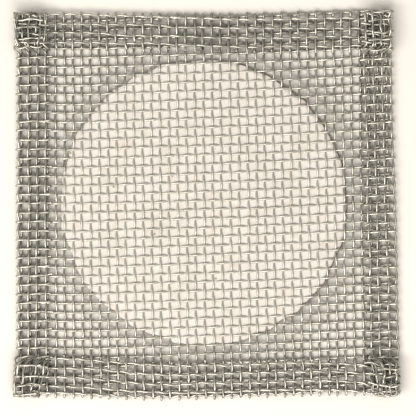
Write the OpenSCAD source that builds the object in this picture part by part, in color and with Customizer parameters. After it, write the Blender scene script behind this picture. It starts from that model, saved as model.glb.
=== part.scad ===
// Wire gauze: a square of plain-woven wire cloth with four folded hems and a ceramic disc
// keyed into its middle.  It lies flat with its hems up.  X runs along the weft wires, Y along
// the warp wires, and the origin is under the middle of the disc, on the face that it lies on.

/* [Cloth] */
// Distance between the centres of neighbouring wires
pitch = 2.88; // [2.4:0.12:3.6]
// Diameter of a wire
wire_d = 0.70; // [0.5:0.01:0.85]
// Number of wires across the finished square, an odd number
wires_across = 43; // [35:2:47]
// Number of wires folded over in each hem
hem_wires = 4; // [2:1:5]
// Clear height between two layers of folded cloth
layer_gap = 0.06; // [0.04:0.01:0.3]

/* [Ceramic centre] */
// Diameter of the ceramic disc
disc_d = 92; // [60:1:98]
// Thickness of the ceramic behind the wires
backing = 0.6; // [0.4:0.1:1.5]
// Height of the ceramic keys that fill the openings of the cloth
key_rise = 0.85; // [0.4:0.05:1.6]
// Clearance between a wire and the ceramic round it
key_gap = 0.05; // [0.03:0.01:0.15]
// Extra depth of the slots under the weft wires
weft_slot_step = 0.1; // [0.05:0.05:0.3]

/* [Hidden] */
// Outermost wire of the finished square, and of the flat blank, counted from the middle wire
face_last = (wires_across - 1) / 2;
blank_last = face_last + hem_wires;
// Innermost wire that lies under a hem
hem_first = face_last - hem_wires + 1;

// Height between the high and the low centre lines of a crimped wire
crimp = max(pitch * 7 / 24, wire_d * 1.2);
// Wire diameter measured over a bend
bend_d = wire_d * 1.05;
// Height from one layer of cloth to the next, rounded up to a hundredth
layer_rise = ceil((crimp + bend_d + layer_gap) * 100) / 100;
// Middle height of the lowest layer
cloth_z = backing + key_gap + (crimp + bend_d) / 2;
// Reach of a hem loop past the outermost crossing, for a loop inside another and for the rest
inner_reach = bend_d + layer_gap;
outer_reach = 2 * inner_reach;
// Run and rise of the short sloping length that turns each corner of a loop or a step
corner_run = wire_d * 0.6;
corner_rise = wire_d * 0.8;
// Size of a mitre line, for each unit of the two directions that it halves
mitre_scale = wire_d * 0.35;
// Length of a raw end past its last crossing: by the steps at the corners, and elsewhere
short_end = pitch / 5;
long_end = pitch / 2;

slot_w = wire_d + 2 * key_gap;
disc_slots = floor((disc_d + slot_w) / 2 / pitch);

WARP = 1;
WEFT = -1;
wire_colour = [0.62, 0.60, 0.55];
ceramic_colour = [0.95, 0.92, 0.86];
$fn = 48;

function two_digits(i) = str(i < 10 ? "0" : "", i);
function wire_name(kind, i) = str(kind == WARP ? "warp" : "weft",
                                  i == 0 ? "_centre" : "_pair_", i == 0 ? "" : two_digits(i));
WIRES = [0 : blank_last];

// +1 where wire i of this kind passes over crossing k on the flat blank, -1 where it passes under
function over(kind, i, k) = (i + k) % 2 == 0 ? kind : -kind;

// Distance of wire i, or of crossing k, from the middle once the hems are folded
function place(i) = (i <= face_last ? i : wires_across - i) * pitch;

// Height of a wire at a crossing, in a layer whose front face is up (face 1) or turned over (-1)
function height(kind, i, k, layer, face) =
    cloth_z + layer * layer_rise + face * over(kind, i, k) * crimp / 2;

// The crossings from k = a to k = b, as points (distance along the wire, height)
function run(kind, i, a, b, layer, face) =
    [for (k = [a : b]) [place(k), height(kind, i, k, layer, face)]];

// A loop that leaves the last crossing at height z0 and comes back over or under it at z1
function loop(z0, z1, reach) =
    let (x = place(face_last) + reach, turn = sign(z1 - z0) * corner_rise)
    [[x - corner_run, z0], [x, z0 + turn], [x, z1 - turn], [x - corner_run, z1]];

// A step from height z0 up to z1, midway between two crossings
function step_up(z0, z1) =
    let (x = place(hem_first) - pitch / 2)
    [[x - corner_run, z0], [x, z0 + corner_rise],
     [x, z1 - corner_rise], [x + corner_run, z1]];

// The raw end past the last crossing, which heads for the middle height of its layer
function raw_end(kind, i, layer, face, length) =
    let (z = height(kind, i, blank_last, layer, face),
         fall = face * over(kind, i, blank_last) * crimp * length / pitch)
    [[place(blank_last) - length, z - fall]];

// A wire of the face: along the lowest layer, round the loop and back in its hem.  The hems
// across the warp are folded first, so at the corners the weft wires loop up to layer 3.
function face_wire(kind, i) =
    let (layer = kind == WEFT && i >= hem_first ? 3 : 1,
         end = kind == WARP && i >= hem_first ? short_end : long_end,
         z0 = height(kind, i, face_last, 0, 1),
         z1 = height(kind, i, face_last + 1, layer, -1))
    concat(run(kind, i, 0, face_last, 0, 1),
           loop(z0, z1, outer_reach),
           run(kind, i, face_last + 1, blank_last, layer, -1),
           raw_end(kind, i, layer, -1, end));

// A warp wire of a side hem: on layer 1, up a step to layer 3 over the corner, and back on layer 2
function hem_warp(i) =
    let (z0 = height(WARP, i, hem_first - 1, 1, -1),
         z1 = height(WARP, i, hem_first, 3, -1),
         z2 = height(WARP, i, face_last, 3, -1),
         z3 = height(WARP, i, face_last + 1, 2, 1))
    concat(run(WARP, i, 0, hem_first - 1, 1, -1),
           step_up(z0, z1),
           run(WARP, i, hem_first, face_last, 3, -1),
           loop(z2, z3, outer_reach),
           run(WARP, i, face_last + 1, blank_last, 2, 1),
           raw_end(WARP, i, 2, 1, short_end));

// A weft wire of the other hems: on layer 1, round the inner loop and back on layer 2
function hem_weft(i) =
    let (z0 = height(WEFT, i, face_last, 1, -1),
         z1 = height(WEFT, i, face_last + 1, 2, 1))
    concat(run(WEFT, i, 0, face_last, 1, -1),
           loop(z0, z1, inner_reach),
           run(WEFT, i, face_last + 1, blank_last, 2, 1),
           raw_end(WEFT, i, 2, 1, long_end));

// Half of a wire's centre line, from the middle crossing to the raw end
function half_path(kind, i) =
    i <= face_last ? face_wire(kind, i) : kind == WARP ? hem_warp(i) : hem_weft(i);

// The whole centre line, which is the same on both sides of the middle
function full_path(half) =
    concat([for (j = [len(half) - 1 : -1 : 1]) [-half[j].x, half[j].y]], half);

function unit(v) = v / norm(v);

// Direction of the length of wire that starts at point j
function direction(path, j) = unit(path[j + 1] - path[j]);

// Half of the mitre line at point j, which halves the angle between the lengths that meet there
function mitre(path, j) =
    let (last = len(path) - 2,
         both = direction(path, max(j - 1, 0)) + direction(path, min(j, last)))
    [-both.y, both.x] * mitre_scale;

// One straight length of a wire, cut at its two mitre lines
module wire_length(path, j) {
    a = path[j];
    b = path[j + 1];
    start = a - direction(path, j) * wire_d;
    slope = atan2(b.y - a.y, b.x - a.x);
    ma = mitre(path, j);
    mb = mitre(path, j + 1);
    intersection() {
        translate([start.x, 0, start.y])
            rotate([0, 90 - slope, 0])
                cylinder(d = wire_d, h = norm(b - a) + 2 * wire_d);
        rotate([90, 0, 0])
            translate([0, 0, -wire_d])
                linear_extrude(2 * wire_d)
                    polygon([a + ma, b + mb, b - mb, a - ma]);
    }
}

// A whole wire along X, made of straight lengths mitred together at its bends
module wire(path) {
    union() {
        for (j = [0 : len(path) - 2])
            wire_length(path, j);
    }
}

// The middle wire, or the two wires that lie at the same distance on each side of it
module wire_pair(kind, i) {
    path = full_path(half_path(kind, i));
    color(wire_colour)
        for (side = i == 0 ? [0] : [-1, 1])
            rotate([0, 0, kind == WARP ? 90 : 0])
                translate([0, side * place(i), 0])
                    wire(path);
}

// Section of a plate with a slot for each wire, from the far left round to the near left
function slotted_section(floor_z, top_z, half_w) =
    concat([[-half_w, 0], [half_w, 0], [half_w, top_z]],
           [for (i = [disc_slots : -1 : -disc_slots])
               each [[i * pitch + slot_w / 2, top_z],
                     [i * pitch + slot_w / 2, floor_z],
                     [i * pitch - slot_w / 2, floor_z],
                     [i * pitch - slot_w / 2, top_z]]],
           [[-half_w, top_z]]);

// A square plate with slots along Y
module slotted_plate(floor_z, top_z) {
    half_w = disc_d / 2 + pitch;
    rotate([90, 0, 0])
        translate([0, 0, -half_w])
            linear_extrude(2 * half_w)
                polygon(slotted_section(floor_z, top_z, half_w));
}

// The disc: a backing plate whose keys stand up through the openings of the cloth
module ceramic_disc() {
    key_top = backing + key_rise;
    color(ceramic_colour)
        intersection() {
            slotted_plate(backing, key_top);
            rotate([0, 0, 90])
                slotted_plate(backing - weft_slot_step, key_top + 1);
            cylinder(d = disc_d, h = key_top + 2);
        }
}

for (kind = [WARP, WEFT])
    for (i = WIRES)
        wire_pair(kind, i);
ceramic_disc();
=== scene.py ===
import bpy
import numpy as np
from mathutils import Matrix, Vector
from mathutils.geometry import delaunay_2d_cdt


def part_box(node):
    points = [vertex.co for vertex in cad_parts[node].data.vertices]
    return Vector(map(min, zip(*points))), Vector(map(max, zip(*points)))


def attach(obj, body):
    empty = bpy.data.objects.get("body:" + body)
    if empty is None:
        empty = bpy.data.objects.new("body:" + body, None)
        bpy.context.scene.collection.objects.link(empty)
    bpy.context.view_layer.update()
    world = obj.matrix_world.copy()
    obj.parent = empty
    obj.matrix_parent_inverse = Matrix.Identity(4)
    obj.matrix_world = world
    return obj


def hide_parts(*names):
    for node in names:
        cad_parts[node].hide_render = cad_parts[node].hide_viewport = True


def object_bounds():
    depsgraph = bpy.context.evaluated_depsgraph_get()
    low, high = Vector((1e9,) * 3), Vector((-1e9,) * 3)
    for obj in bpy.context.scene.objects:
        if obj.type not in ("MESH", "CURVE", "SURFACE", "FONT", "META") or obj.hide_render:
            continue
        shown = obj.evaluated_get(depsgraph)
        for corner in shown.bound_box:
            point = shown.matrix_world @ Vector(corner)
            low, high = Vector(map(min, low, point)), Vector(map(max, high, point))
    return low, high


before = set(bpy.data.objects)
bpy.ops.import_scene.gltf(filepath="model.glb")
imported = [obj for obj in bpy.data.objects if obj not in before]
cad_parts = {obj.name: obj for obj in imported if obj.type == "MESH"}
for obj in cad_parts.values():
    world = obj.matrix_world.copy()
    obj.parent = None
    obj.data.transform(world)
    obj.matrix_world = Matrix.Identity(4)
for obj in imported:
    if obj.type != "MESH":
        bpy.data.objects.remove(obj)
cad_box = [[float(value) for value in corner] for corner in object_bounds()]

# ---------------------------------------------------------------- sizes, in mm, from the CAD parts
MM = 0.001


def node_box(name):
    """Lowest and highest corner of a CAD node, in mm."""
    low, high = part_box(name)
    return np.array(low) / MM, np.array(high) / MM


def node_size(name):
    """Width, depth and height of a CAD node, in mm."""
    low, high = node_box(name)
    return high - low


HEM_WIRES = 4                   # wires in each hem
BLANK_LAST = max(int(name[-2:]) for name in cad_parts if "_pair_" in name)
FACE_LAST = BLANK_LAST - HEM_WIRES
HALF = FACE_LAST + 0.5          # pitches from the middle to the edge of the face
WIRE_D = float(node_size("warp_centre")[0])
PITCH = float(node_size(f"warp_pair_{FACE_LAST:02d}")[0] - WIRE_D) / (2 * FACE_LAST)
HALF_SIDE = cad_box[1][0] / MM
CAD_TOP = cad_box[1][2] / MM
DISC_R = float(node_size("ceramic_disc")[0]) / 2
DISC_TOP = float(node_box("ceramic_disc")[1][2])

# ---------------------------------------------------------------- the cloth, in mm
CRIMP = {"warp": 0.26, "weft": 0.34}    # height of a wire's wave about the middle of its layer
LAYER = 0.95                    # height from one folded layer to the next: closer than real wires could
                                # lie, because the photo shows the lower layer through the upper one
CERAMIC_OVER = 0.1              # how far the middle of the cloth lies under the top of the CAD's disc
CLOTH_Z = float(node_size("ceramic_disc")[2]) - CERAMIC_OVER
TABLE_GAP = 0.05                # from the table to the lowest wires, well outside the disc
SAG = CLOTH_Z - CRIMP["weft"] - WIRE_D / 2 - TABLE_GAP
SAG_WIDTH = 9                   # from the disc's rim to where the cloth is down on the table
FOLD_BULGE = 0.40               # room for the waves of the wires outside a fold
FOLD_MARGIN = LAYER / 2 + FOLD_BULGE + WIRE_D / 2
SLACK = {"top": -0.3, "bottom": 0.5, "left": 0.08, "right": -0.25}    # cloth taken in, past the arc
CORNER_RISE = 1.7               # how far the side folds climb over the top and bottom hems
CORNER_INSET = 0.6              # how far they draw in where they do
HEM_EDGE = 50.6                 # where the raw edges of the top and bottom hems lie
HEM_RAMP = 3.0                  # how far before it the side hems begin to climb over them
HEM_BLEND = 1.5                 # pitches over which the wires grow as uneven as they are in the hems
WARP_PITCH = 2.756
WEFT_PITCH = 2.866
WARP_SHIFT, WEFT_SHIFT = -0.7, -1.6     # the hems were folded a little off the middle of the blank
EDGE_END = 0.25                 # share of half a side over which an edge bends at its end


def smooth(x):
    """Soft step from 0 at x = 0 to 1 at x = 1."""
    t = np.clip(x, 0, 1)
    return t * t * (3 - 2 * t)


# Outline of the folded square: how far each edge lies from the middle, at place -1 to 1 along it
def edge_right(v):
    middle, lean = 60.1, 1.3
    return middle - lean * v


def edge_left(v):
    straight, flare = 60.5, 0.9
    return straight + flare * smooth((-v - (1 - EDGE_END)) / EDGE_END)


def edge_top(u):
    straight, rise, bend = 61.0, 1.2, 0.1
    return straight + rise * smooth((u - bend) / (1 - bend))


def edge_bottom(u):
    straight, swell, swell_place, swell_width = 61.4, 0.8, -0.22, 0.38
    right_rise, right_width, left_rise = 0.6, 0.8, 0.3
    bulge = swell * np.exp(-((u - swell_place) / swell_width) ** 2)
    right = right_rise * smooth(u / right_width)
    return straight + bulge - right - left_rise * smooth((-u - (1 - EDGE_END)) / EDGE_END)


def weft_droop(u):
    """The weft wires fall a little near the left edge, and then rise more and more to the right."""
    turn, knee, rise, sweep, drop = -0.72, 0.12, 1.75, 0.95, 1.115
    return rise * knee * np.log(np.cosh((u - turn) / knee)) + sweep * np.maximum(u, 0) ** 3 - drop


def wander(grid, p, q, step_p, step_q):
    """Smooth noise read from a grid of random numbers, whose middle is at p = q = 0."""
    rows, cols = grid.shape
    p = np.clip(p / step_p + rows / 2, 0, rows - 1.001)
    q = np.clip(q / step_q + cols / 2, 0, cols - 1.001)
    i, j = p.astype(int), q.astype(int)
    s, t = smooth(p - i), smooth(q - j)
    low = grid[i, j] * (1 - s) + grid[i + 1, j] * s
    high = grid[i, j + 1] * (1 - s) + grid[i + 1, j + 1] * s
    return low * (1 - t) + high * t


# How far the crossings stray from their even places, wire by wire (rows) and along a wire (columns)
FACE_STRAY, HEM_STRAY = 0.09, 0.14
FACE_STEP, HEM_STEP = 7, 3      # pitches from one column to the next
FACE_GRID, HEM_GRID = (60, 12), (60, 30)

random = np.random.default_rng(1851)
SPACING_X = random.normal(0, FACE_STRAY, FACE_GRID)
SPACING_Y = random.normal(0, FACE_STRAY, FACE_GRID)
HEM_X = random.normal(0, HEM_STRAY, HEM_GRID)
HEM_Y = random.normal(0, HEM_STRAY, HEM_GRID)


def blank(a, b):
    """Place of crossing (a, b) on the flat blank, which is nearly a square grid."""
    closing, lean, opening = 0.02, 0.43, 0.001
    left_drop, right_drop, right_slope = 0.3, 0.6, 0.38
    u, v = a / HALF, b / HALF
    in_hem = smooth((np.maximum(abs(a), abs(b)) - HALF) / HEM_BLEND)
    x = a * (WARP_PITCH - closing * v) + WARP_SHIFT - lean * v
    x = x + wander(SPACING_X, a, b, 1, FACE_STEP) + in_hem * wander(HEM_X, a, b, 1, HEM_STEP)
    y = b * WEFT_PITCH + opening * b ** 2 + WEFT_SHIFT + weft_droop(u)
    y = y + wander(SPACING_Y, b, a, 1, FACE_STEP) + in_hem * wander(HEM_Y, b, a, 1, HEM_STEP)
    past_left, past_right = -a - FACE_LAST, a - FACE_LAST
    y = y - left_drop * smooth(past_left) - right_drop * smooth(past_right)
    return x, y - right_slope * np.maximum(past_right, 0)


def fold(place, line, middle, height, reach, slack):
    """Folds what lies past the line back over itself, round a half ellipse at that middle height."""
    past = np.maximum(place - line, 0)
    radius = middle - height
    arc = np.pi * np.sqrt((radius ** 2 + reach ** 2) / 2) + slack
    turn = np.pi * np.clip(past / arc, 0, 1)
    back = np.maximum(past - arc, 0)
    return np.minimum(place, line) + reach * np.sin(turn) - back, middle - radius * np.cos(turn)


def side_reach(radius):
    """How far a side fold of this height stands out: the higher it climbs, the flatter it is."""
    usual, power, least = 0.88, 0.55, 0.1
    return usual * np.maximum(radius, least) ** power


def cloth(a, b):
    """Middle surface of the folded cloth at crossing (a, b): the top and bottom hems are folded first."""
    x, y = blank(a, b)
    u = np.clip(x / HALF_SIDE, -1, 1)
    line = np.where(y > 0, edge_top(u), edge_bottom(u)) - FOLD_MARGIN
    slack = np.where(y > 0, SLACK["top"], SLACK["bottom"])
    size, z = fold(abs(y), line, LAYER / 2, 0, LAYER / 2, slack)
    y = np.sign(y) * size
    v = np.clip(y / HALF_SIDE, -1, 1)
    climb = smooth((abs(y) - HEM_EDGE + HEM_RAMP) / HEM_RAMP)
    middle = LAYER / 2 + CORNER_RISE * climb
    line = np.where(x > 0, edge_right(v), edge_left(v)) - FOLD_MARGIN - CORNER_INSET * climb
    slack = np.where(x > 0, SLACK["right"], SLACK["left"])
    size, z = fold(abs(x), line, middle, z, side_reach(middle - z), slack)
    sag = SAG * smooth((np.hypot(size, y) - DISC_R) / SAG_WIDTH)
    return np.stack([np.sign(x) * size, y, z + CLOTH_Z - sag], axis=-1)


def cloth_normal(a, b):
    step = 0.02
    across = cloth(a + step, b) - cloth(a - step, b)
    along = cloth(a, b + step) - cloth(a, b - step)
    return unit(np.cross(across, along))


def unit(vectors):
    return vectors / np.maximum(np.linalg.norm(vectors, axis=-1, keepdims=True), 1e-9)


# ---------------------------------------------------------------- the wires, in mm
LIMIT_LEFT, LIMIT_RIGHT = 60.7, 61.2    # the furthest that the middle of a wire goes each way
LIMIT_BOTTOM, LIMIT_TOP = 61.9, 61.0
RINGS = 6                       # rings of a tube in each pitch
SIDES = 10                      # sides of a tube
END, LONGER_END, RAGGED_END = 0.5, 0.22, 0.1    # raw ends past the last crossing, in pitches
LOOSE_FROM, LOOSE_WIDTH = 0.2, 0.8      # where they begin to bend before it, and over how much
LOOSE_BEND = 0.18               # spread of the random shift of their tips
CORNER_FROM, CORNER_WIDTH = 49, 4       # where the tangle of a corner begins, and is full
BUNCHING = 0.42                 # how far the wires of a corner are bunched sideways
SWING = 0.09                    # how far a wire swings sideways between its crossings
SCALLOP = 0.2                   # push of the outermost wire on the left, in step with its wave
TIPS_SHOWN = 0.8                # how far the last weft wire of the bottom fold is moved off the warp's tips
# base tone of each kind of wire: the wefts are painted brighter than the warps, a painted highlight on wires
# of the same zinc
PAINTED_LIGHT_TONE = {"warp": 0.3, "weft": 0.75}


def ripple(t, step, size):
    """Smooth noise along a wire, with a new random value at each step."""
    count = int((t[-1] - t[0]) / step) + 4
    values = random.normal(0, size, count)
    place = (t - t[0]) / step
    i = place.astype(int)
    s = smooth(place - i)
    return values[i] * (1 - s) + values[i + 1] * s


def wire_line(kind, i):
    """Wire i of this kind, point by point: its centre line, the cloth's normal, how far along it the point
    is, its wave (1 out of the cloth's front, -1 out of its back), and how deep in a corner it is (0 to 1)."""
    ends = BLANK_LAST + END + LONGER_END * (i % 2) + random.uniform(-RAGGED_END, RAGGED_END, 2)
    t = np.linspace(-ends[0], ends[1], int((ends[0] + ends[1]) * RINGS))
    fixed = np.full_like(t, float(i))
    a, b = (fixed, t) if kind == "warp" else (t, fixed)
    normal = cloth_normal(a, b)
    line = cloth(a, b)
    turned = -1 if kind == "warp" else 1
    sign = turned * (-1) ** abs(i)
    wave = sign * np.cos(np.pi * t)
    line = line + normal * (CRIMP[kind] * wave)[:, None]
    deep = smooth((abs(line[:, :2]) - CORNER_FROM) / CORNER_WIDTH)
    corner = deep[:, 0] * deep[:, 1]
    side = np.array([1.0, 0, 0]) if kind == "warp" else np.array([0, 1.0, 0])
    swing = turned * SWING * sign * np.sin(np.pi * t)
    line = line + side * swing[:, None]
    if kind == "warp" and i == -FACE_LAST - 1:
        line[:, 0] -= SCALLOP * (1 - wave)
    if kind == "weft" and i == -FACE_LAST:
        line[:, 1] += TIPS_SHOWN
    bunching = random.normal(0, BUNCHING, 2)
    bunched = np.where(t < 0, bunching[0], bunching[1])
    sway = ripple(t, step=1.5, size=0.03) + corner * (ripple(t, step=0.9, size=0.22) + bunched)
    lift = ripple(t, step=2.0, size=0.02) + corner * ripple(t, step=0.7, size=0.32)
    line = line + side * sway[:, None] + np.array([0, 0, 1.0]) * lift[:, None]
    loose = smooth((abs(t) - BLANK_LAST + LOOSE_FROM) / LOOSE_WIDTH)
    line = line + loose[:, None] * random.normal(0, LOOSE_BEND, (1, 3))
    line[:, 0] = np.clip(line[:, 0], -LIMIT_LEFT, LIMIT_RIGHT)
    line[:, 1] = np.clip(line[:, 1], -LIMIT_BOTTOM, LIMIT_TOP)
    line[:, 2] = np.clip(line[:, 2], WIRE_D / 2, CAD_TOP - WIRE_D / 2)
    return line, normal, t, wave, corner


def tube(line, normal, start):
    """Vertices and faces of a round tube along the line, whose vertices are numbered from start, and how
    much each vertex faces up (1) or down (-1)."""
    ahead = unit(np.gradient(line, axis=0))
    up = unit(normal - ahead * (normal * ahead).sum(axis=1, keepdims=True))
    across = np.cross(ahead, up)
    angles = np.linspace(0, 2 * np.pi, SIDES, endpoint=False)
    ring = across[:, None] * np.cos(angles)[None, :, None] + up[:, None] * np.sin(angles)[None, :, None]
    points = (line[:, None] + ring * WIRE_D / 2).reshape(-1, 3)
    count = len(line)
    corner = np.arange(SIDES)
    near = (np.arange(count - 1)[:, None] * SIDES + corner).ravel() + start
    turned = (np.arange(count - 1)[:, None] * SIDES + (corner + 1) % SIDES).ravel() + start
    quads = np.stack([near, near + SIDES, turned + SIDES, turned], axis=1).tolist()
    caps = [list(range(start, start + SIDES)),
            list(range(start + (count - 1) * SIDES, start + count * SIDES))[::-1]]
    return points, quads + caps, ring[:, :, 2].ravel()


def wire_looks(kind, line, normal, t, wave, corner, facing):
    """For each vertex of a wire's tube: how bright it is, with the weft wires painted brighter than the warp
    wires as a painted highlight, how much dust it holds, and how much painted shade it gets, darker where it
    faces down, dips under a crossing or lies in a corner tangle.
    """
    tone_spread, dust_width = 0.15, 0.8
    painted_shade_usual, painted_shade_off_top, painted_shade_off_crest, painted_shade_corner = 0.74, 0.80, 0.22, 0.3
    # random differences between wires and along them, over a base in which the wefts are painted brighter as
    # painted light
    tone_and_painted_light = PAINTED_LIGHT_TONE[kind] + tone_spread * random.normal() + ripple(t, step=3.0, size=0.12)
    dust = smooth(inside_disc(line[:, 0], line[:, 1]) / dust_width)
    crest = np.repeat(wave * np.sign(normal[:, 2]), SIDES)
    tangle = np.repeat(corner, SIDES) * (1 - facing)
    # painted shade: darker where the wire faces down, dips to the back under a crossing, or tangles in a
    # corner
    painted_shade = painted_shade_usual - painted_shade_off_top * facing - painted_shade_off_crest * crest + painted_shade_corner * tangle
    along = np.repeat([np.clip(tone_and_painted_light, 0, 1), dust], SIDES, axis=1)
    return np.concatenate([along, np.clip(painted_shade, 0, 1)[None, :]])


def mesh_object(name, points, faces, attributes, material):
    mesh = bpy.data.meshes.new(name)
    mesh.from_pydata((np.asarray(points) * MM).tolist(), [], faces)
    mesh.polygons.foreach_set("use_smooth", [True] * len(mesh.polygons))
    for label, values in attributes.items():
        layer = mesh.attributes.new(label, "FLOAT", "POINT")
        layer.data.foreach_set("value", np.asarray(values, dtype=np.float32))
    mesh.materials.append(material)
    piece = bpy.data.objects.new(name, mesh)
    bpy.context.scene.collection.objects.link(piece)
    return piece


def wire_group(name, kind, numbers, material):
    """One piece that holds every wire of these numbers, on both sides of the middle."""
    points, faces, looks = [], [], []
    total = 0
    for number in numbers:
        for i in ([0] if number == 0 else [-number, number]):
            line, normal, t, wave, corner = wire_line(kind, i)
            wire_points, wire_faces, facing = tube(line, normal, total)
            points.append(wire_points)
            faces += wire_faces
            total += len(wire_points)
            looks.append(wire_looks(kind, line, normal, t, wave, corner, facing))
    tone_and_painted_light, dust, painted_shade = np.concatenate(looks, axis=1)
    attributes = {"tone_and_painted_light": tone_and_painted_light, "dust": dust, "painted_shade": painted_shade}
    piece = mesh_object(name, np.concatenate(points), faces, attributes, material)
    nodes = [f"{kind}_centre" if number == 0 else f"{kind}_pair_{number:02d}" for number in numbers]
    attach(piece, "root")
    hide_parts(*nodes)


# ---------------------------------------------------------------- the ceramic disc, in mm
DISC_X, DISC_Y = -1.1, 0.5      # where the middle of the hand-laid disc lies
RIM_INSET, RIM_RAGGED = 1.1, 0.28       # how far the rim lies inside the CAD's, and how uneven it is
CELLS = 9                       # squares of the disc's front in each pitch
FRONT_DEPTH = 0.11              # how far the front lies under the middle of the cloth
BUMP_STEP = 0.5                 # pitches from one random bump of the front to the next
WALL = [(0.10, DISC_TOP * 0.72), (0.14, DISC_TOP * 0.4), (0.05, 0.12), (-0.1, 0.0)]   # bulge, height
PAINTED_SHADOW_RINGS = 3                 # rings of the wall painted dark brown as painted shadow
SLUMP = 3.5                     # at its right, the wall bulges 1 + SLUMP times as far
BACK_MARGIN = 1.0               # from the rim to the grid of points on the back
BACK_POINTS = 3                 # points of that grid in each pitch
RIM_POINTS = 64                 # random points round the rim
BUMP, BUMP_GRID = 0.03, (90, 90)        # spread of the random bumps of the front, and how many there are
RIM = random.normal(0, 1, RIM_POINTS)
FRONT_BUMPS = random.normal(0, BUMP, BUMP_GRID)


def rim_radius(angle):
    """Radius of the ragged rim."""
    place = (angle / (2 * np.pi)) % 1 * len(RIM)
    i = place.astype(int) % len(RIM)
    s = smooth(place - np.floor(place))
    ragged = RIM[i] * (1 - s) + RIM[(i + 1) % len(RIM)] * s
    return DISC_R - RIM_INSET + RIM_RAGGED * ragged


def inside_disc(x, y):
    """How far a point lies inside the rim, in mm, and less than 0 outside it."""
    return rim_radius(np.arctan2(y - DISC_Y, x - DISC_X)) - np.hypot(x - DISC_X, y - DISC_Y)


def disc_front(a, b, inside):
    """Height of the front: filled to near the middle of the cloth, and drawn up round the wires."""
    drawn_up, drawn_width, shoulder_height, shoulder_width = 0.10, 0.42, 0.45, 0.6
    to_warp = abs(a - np.round(a)) * PITCH
    to_weft = abs(b - np.round(b)) * PITCH
    near = np.minimum(to_warp, to_weft)
    meniscus = drawn_up * np.exp(-((near / drawn_width) ** 2))
    out = 1 - np.clip(inside / shoulder_width, 0, 1)
    shoulder = shoulder_height * (1 - np.sqrt(np.clip(1 - out ** 2, 0, 1)))
    bumps = wander(FRONT_BUMPS, a, b, BUMP_STEP, BUMP_STEP)
    return CLOTH_Z - FRONT_DEPTH + meniscus + bumps - shoulder


def four_corners(grid):
    """The value of a grid at the four corners of each of its squares."""
    return grid[:-1, :-1], grid[1:, :-1], grid[:-1, 1:], grid[1:, 1:]


def front_sheet():
    """The front of the disc: points and squares of a fine grid that follows the wires, up to the rim."""
    spare = 2
    reach = int(DISC_R / PITCH) + spare
    count = 2 * reach * CELLS + 1
    axis = np.linspace(-reach, reach, count)
    a, b = np.meshgrid(axis, axis, indexing="ij")
    x, y = blank(a, b)
    full = np.all(four_corners(inside_disc(x, y) > 0), axis=0)
    used = np.zeros_like(a, dtype=bool)
    for part in four_corners(used):
        part |= full
    within = np.zeros_like(used)
    within[1:-1, 1:-1] = np.all(four_corners(full), axis=0)
    border = used & ~within
    angle = np.arctan2(y - DISC_Y, x - DISC_X)
    radius = np.hypot(x - DISC_X, y - DISC_Y)
    push = np.where(border, rim_radius(angle) - radius, 0)
    x, y = x + push * np.cos(angle), y + push * np.sin(angle)
    number = -np.ones_like(a, dtype=int)
    number[used] = np.arange(used.sum())
    z = disc_front(a, b, np.where(border, 0, inside_disc(x, y)))
    points = np.stack([x[used], y[used], z[used]], axis=1)
    i, j = np.nonzero(full)
    quads = np.stack([number[i, j], number[i + 1, j], number[i + 1, j + 1], number[i, j + 1]], axis=1)
    return points, quads.tolist()


def border_loop(quads):
    """The border of a sheet of quads, as one ring of vertex numbers that runs with the faces."""
    edges = set()
    for quad in quads:
        for k in range(4):
            edges.add((quad[k], quad[(k + 1) % 4]))
    following = {first: second for first, second in edges if (second, first) not in edges}
    start = min(following)
    loop = [start]
    while following[loop[-1]] != start:
        loop.append(following[loop[-1]])
    return loop


def disc_wall(rim, above, first):
    """Rings from the rim down to the table, and their faces. The rim's vertices have the numbers above,
    and new vertices are numbered from first."""
    outward = unit(rim[:, :2] - np.array([DISC_X, DISC_Y]))
    slumped = 1 + SLUMP * np.maximum(outward[:, :1], 0)
    rings, faces = [], []
    for bulge, height in WALL:
        out = outward * bulge * slumped
        rings.append(np.column_stack([rim[:, :2] + out, np.full(len(rim), height)]))
        below = first + np.arange(len(rim))
        faces += np.stack([above, below, np.roll(below, -1), np.roll(above, -1)], axis=1).tolist()
        above, first = below, first + len(rim)
    return rings, faces


def disc_back(ring, first):
    """The flat back inside a ring whose vertices are numbered from first: new points, and faces."""
    inside_only, merge_distance = 1, 1e-6
    spacing = PITCH / BACK_POINTS
    grid = np.arange(-DISC_R, DISC_R + spacing, spacing)
    gx, gy = np.meshgrid(grid, grid)
    keep = inside_disc(gx, gy) > BACK_MARGIN
    inner = np.column_stack([gx[keep], gy[keep]])
    everything = [tuple(point) for point in np.concatenate([ring, inner]).tolist()]
    count = len(ring)
    edges = [(k, (k + 1) % count) for k in range(count)]
    made = delaunay_2d_cdt(everything, edges, [], inside_only, merge_distance)
    triangles, origin = made[2:4]
    label = [min(old) if old else -1 for old in origin]
    faces = [[first + label[k] for k in triangle][::-1] for triangle in triangles]
    new_points = np.column_stack([inner, np.zeros(len(inner))])
    return new_points, faces


def ceramic_disc(material):
    """The disc: a fine grid in front that follows the wires, a rounded rim, a wall and a plain back."""
    front, front_faces = front_sheet()
    loop = np.array(border_loop(front_faces))
    rings, wall_faces = disc_wall(front[loop], loop, len(front))
    last_ring = len(front) + (len(rings) - 1) * len(loop)
    back, back_faces = disc_back(rings[-1][:, :2], last_ring)
    points = np.concatenate([front, *rings, back])
    wall = np.zeros(len(points))
    # painted shadow: the upper rings of the wall are marked to be painted dark brown
    wall[len(front):len(front) + PAINTED_SHADOW_RINGS * len(loop)] = 1
    faces = front_faces + wall_faces + back_faces
    piece = mesh_object("ceramic_centre", points, faces, {"wall": wall}, material)
    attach(piece, "root")
    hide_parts("ceramic_disc")


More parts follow.
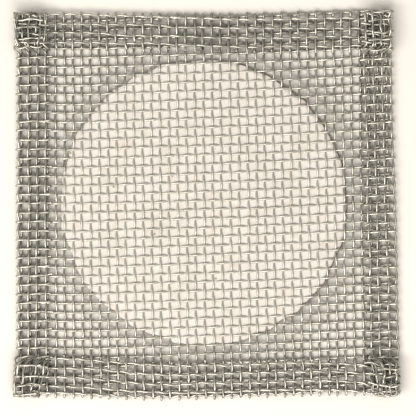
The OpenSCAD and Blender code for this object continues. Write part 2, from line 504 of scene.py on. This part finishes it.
# ---------------------------------------------------------------- materials
MIX_FACTOR, MIX_FIRST, MIX_SECOND, MIX_RESULT = 0, 6, 7, 2      # a mix node's sockets for colours
WHITE, BLACK = (1, 1, 1), (0, 0, 0)
DARK_ZINC, ZINC, BRIGHT_ZINC = (0.39, 0.375, 0.325), (0.50, 0.48, 0.42), (0.62, 0.595, 0.53)
DULL_SPOT = (0.62, 0.58, 0.50)
# darkest colour of the painted shade on the wires
PAINTED_SHADE_COLOUR = (0.13, 0.115, 0.095)
CERAMIC_DUST = (0.46, 0.43, 0.37)
DEEP_CREAM, CREAM, WARM_CREAM = (0.575, 0.535, 0.47), (0.625, 0.59, 0.53), (0.595, 0.54, 0.475)
PINK_STAIN = (1.0, 0.90, 0.82)
PINHOLE = (0.30, 0.22, 0.15)
# colours of the painted shadow on the disc's wall
DEEP_PAINTED_SHADOW, PAINTED_SHADOW_BROWN = (0.10, 0.075, 0.05), (0.24, 0.19, 0.14)
DEEP_PAPER, PAPER = (0.71, 0.67, 0.605), (0.73, 0.69, 0.625)


def new_material(name):
    material = bpy.data.materials.new(name)
    material.use_nodes = True
    return material, material.node_tree.nodes, material.node_tree.links


def noise(nodes, links, place, scale, detail, roughness=0.5):
    node = nodes.new("ShaderNodeTexNoise")
    node.inputs["Scale"].default_value = scale
    node.inputs["Detail"].default_value = detail
    node.inputs["Roughness"].default_value = roughness
    links.new(place, node.inputs["Vector"])
    return node.outputs["Fac"]


def attribute(nodes, name):
    """A value that the mesh holds for each of its points."""
    node = nodes.new("ShaderNodeAttribute")
    node.attribute_name = name
    return node.outputs


def grey(value):
    return value, value, value


def ramp(nodes, links, value, stops):
    node = nodes.new("ShaderNodeValToRGB")
    colours = node.color_ramp.elements
    while len(colours) < len(stops):
        colours.new(0.5)
    for element, (place, colour) in zip(colours, stops):
        element.position = place
        element.color = (*colour, 1)
    links.new(value, node.inputs["Fac"])
    return node.outputs["Color"]


def mixed(nodes, links, fac, first, second, mode="MIX"):
    node = nodes.new("ShaderNodeMix")
    node.data_type = "RGBA"
    node.blend_type = mode
    for number, value in ((MIX_FACTOR, fac), (MIX_FIRST, first), (MIX_SECOND, second)):
        if isinstance(value, (float, tuple)):
            node.inputs[number].default_value = value
        else:
            links.new(value, node.inputs[number])
    return node.outputs[MIX_RESULT]


def bump(nodes, links, height, distance, strength):
    node = nodes.new("ShaderNodeBump")
    node.inputs["Distance"].default_value = distance
    node.inputs["Strength"].default_value = strength
    links.new(height, node.inputs["Height"])
    return node.outputs["Normal"]


def wire_material():
    """Dull zinc, spotted, darkened with painted shade low down and between wires, and dusty over the disc."""
    material, nodes, links = new_material("galvanised_iron")
    shader = nodes["Principled BSDF"]
    place = nodes.new("ShaderNodeTexCoord").outputs["Object"]
    tone_and_painted_light = attribute(nodes, "tone_and_painted_light")["Fac"]
    spots = noise(nodes, links, place, scale=900, detail=4, roughness=0.6)
    grain = noise(nodes, links, place, scale=5200, detail=2)
    # this ramp carries both real differences between wires and the painted highlight of the wefts
    clean = ramp(nodes, links, tone_and_painted_light, [(0.1, DARK_ZINC), (0.55, ZINC), (0.95, BRIGHT_ZINC)])
    dull = ramp(nodes, links, spots, [(0.42, WHITE), (0.72, DULL_SPOT)])
    metal = mixed(nodes, links, 1.0, clean, dull, "MULTIPLY")
    painted_shade = attribute(nodes, "painted_shade")["Fac"]
    # painted shade: the wires are darkened where they face down, lie under crossings and tangle in the
    # corners
    dark = ramp(nodes, links, painted_shade, [(0.25, WHITE), (1.0, PAINTED_SHADE_COLOUR)])
    metal = mixed(nodes, links, 1.0, metal, dark, "MULTIPLY")
    dust = attribute(nodes, "dust")["Color"]
    patchy = ramp(nodes, links, spots, [(0.3, grey(0.30)), (0.7, grey(0.60))])
    dusty = mixed(nodes, links, 1.0, patchy, dust, "MULTIPLY")
    links.new(mixed(nodes, links, dusty, metal, (*CERAMIC_DUST, 1)), shader.inputs["Base Color"])
    rough = ramp(nodes, links, spots, [(0.3, grey(0.34)), (0.75, grey(0.50))])
    links.new(rough, shader.inputs["Roughness"])
    bare = ramp(nodes, links, dusty, [(0.0, WHITE), (1.0, BLACK)])
    links.new(bare, shader.inputs["Metallic"])
    links.new(bump(nodes, links, grain, distance=0.00002, strength=0.6), shader.inputs["Normal"])
    return material


def ceramic_material():
    """Cloudy cream, with pink stains, a few brown pinholes, and a wall painted dark brown as painted shadow.
    """
    material, nodes, links = new_material("cream_ceramic")
    shader = nodes["Principled BSDF"]
    place = nodes.new("ShaderNodeTexCoord").outputs["Object"]
    clouds = noise(nodes, links, place, scale=90, detail=5, roughness=0.6)
    grain = noise(nodes, links, place, scale=2600, detail=4, roughness=0.7)
    stains = noise(nodes, links, place, scale=330, detail=3, roughness=0.55)
    cream = ramp(nodes, links, clouds, [(0.35, DEEP_CREAM), (0.55, CREAM), (0.7, WARM_CREAM)])
    pink = ramp(nodes, links, stains, [(0.60, WHITE), (0.74, PINK_STAIN)])
    colour = mixed(nodes, links, 1.0, cream, pink, "MULTIPLY")
    holes = nodes.new("ShaderNodeTexVoronoi")
    holes.inputs["Scale"].default_value = 130
    links.new(place, holes.inputs["Vector"])
    pin = ramp(nodes, links, holes.outputs["Distance"], [(0.035, BLACK), (0.06, WHITE)])
    colour = mixed(nodes, links, pin, (*PINHOLE, 1), colour)
    wall = attribute(nodes, "wall")["Fac"]
    # painted shadow: the wall is painted dark brown all round, standing in for the shade at the disc's edge
    brown = ramp(nodes, links, stains, [(0.3, DEEP_PAINTED_SHADOW), (0.7, PAINTED_SHADOW_BROWN)])
    colour = mixed(nodes, links, wall, colour, brown)
    links.new(colour, shader.inputs["Base Color"])
    shader.inputs["Roughness"].default_value = 0.85
    shader.inputs["Specular IOR Level"].default_value = 0.25
    links.new(bump(nodes, links, grain, distance=0.00006, strength=0.7), shader.inputs["Normal"])
    return material


def floor_material():
    """Matt pale paper, with faint clouds."""
    material, nodes, links = new_material("white_paper")
    shader = nodes["Principled BSDF"]
    place = nodes.new("ShaderNodeTexCoord").outputs["Object"]
    clouds = noise(nodes, links, place, scale=60, detail=3)
    paper = ramp(nodes, links, clouds, [(0.0, DEEP_PAPER), (1.0, PAPER)])
    links.new(paper, shader.inputs["Base Color"])
    shader.inputs["Roughness"].default_value = 0.9
    shader.inputs["Specular IOR Level"].default_value = 0.1
    return material


# ---------------------------------------------------------------- the studio, in metres
FLOOR_SIZE = 3.0
LIGHT_COLOUR = (1.0, 0.985, 0.965)
KEY_PLACE, KEY_SIZE, KEY_POWER = (-0.30, -0.54, 0.78), (2.0, 0.45), 19.0
SKY_STRENGTH = 0.62
LENS, SENSOR = 250, 36          # in mm
VIEW_WIDTH = 131.5 * MM         # width of table that the picture shows
VIEW_X, VIEW_Y = 0.47 * MM, -1.1 * MM   # the place that it looks down on


def aim(thing, target):
    direction = np.array(target) - np.array(thing.location)
    thing.rotation_euler = Vector(direction).to_track_quat("-Z", "Y").to_euler()


def area_light(name, place, size, power, colour):
    light = bpy.data.lights.new(name, "AREA")
    light.shape = "RECTANGLE"
    light.size, light.size_y = size
    light.energy = power
    light.color = colour
    thing = bpy.data.objects.new(name, light)
    thing.location = place
    aim(thing, (0, 0, 0))
    bpy.context.scene.collection.objects.link(thing)


def studio():
    """A pale floor, one large light, a soft sky, and a camera that looks straight down."""
    scene = bpy.context.scene
    bpy.ops.mesh.primitive_plane_add(size=FLOOR_SIZE, location=(0, 0, 0))
    floor = bpy.context.object
    floor.name = "floor"
    floor.data.materials.append(floor_material())
    area_light("key", KEY_PLACE, KEY_SIZE, KEY_POWER, LIGHT_COLOUR)
    world = bpy.data.worlds.new("studio")
    world.use_nodes = True
    sky = world.node_tree.nodes["Background"]
    sky.inputs["Color"].default_value = (*LIGHT_COLOUR, 1)
    sky.inputs["Strength"].default_value = SKY_STRENGTH
    scene.world = world
    scene.view_settings.view_transform = "Standard"
    camera = bpy.data.cameras.new("camera")
    camera.lens = LENS
    camera.sensor_width = SENSOR
    thing = bpy.data.objects.new("camera", camera)
    thing.location = (VIEW_X, VIEW_Y, VIEW_WIDTH * LENS / SENSOR)
    scene.collection.objects.link(thing)
    scene.camera = thing


wires = wire_material()
GROUPS = [("inner", range(0, FACE_LAST // 2 + 1)), ("outer", range(FACE_LAST // 2 + 1, FACE_LAST + 1)),
          ("hem", range(FACE_LAST + 1, BLANK_LAST + 1))]
for kind in ("warp", "weft"):
    for part, numbers in GROUPS:
        wire_group(f"{kind}_wires_{part}", kind, numbers, wires)
ceramic_disc(ceramic_material())
studio()
